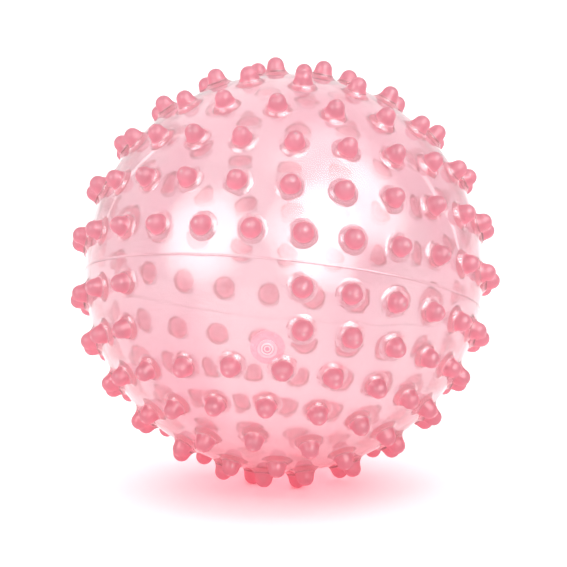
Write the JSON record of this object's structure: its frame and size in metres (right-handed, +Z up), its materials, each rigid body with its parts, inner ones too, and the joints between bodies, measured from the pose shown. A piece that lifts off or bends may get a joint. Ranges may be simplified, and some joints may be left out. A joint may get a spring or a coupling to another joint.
{
  "type": "sensory ball",
  "caption": "Soft inflatable toy ball with rows of blunt bell-shaped knobs, a bare patch and a push-in valve plug.",
  "frame": {"origin": "centre of the ball, which is also the centre of its bounding box", "axes": "+Z up with the ball lying on three knob tips, -Y towards the side with the bare patch and the valve, +X to the right of that side"},
  "size_m": [0.1989, 0.1992, 0.1982],
  "materials": {
    "skin": "translucent soft vinyl, pale pink where thin and coral in the solid knobs, glossy",
    "seat": "translucent pale vinyl, glossy",
    "plug": "pale soft vinyl, glossy"
  },
  "bodies": {
    "ball": {"ball_skin": "skin", "valve_seat": "seat"},
    "plug": {"valve_plug": "plug"}
  },
  "joints": [
    {"name": "plug_pull", "type": "slide", "parent": "ball", "child": "plug", "axis": [-0.0793, -0.9746, -0.2096], "range_m": [0, 0.009]}
  ]
}
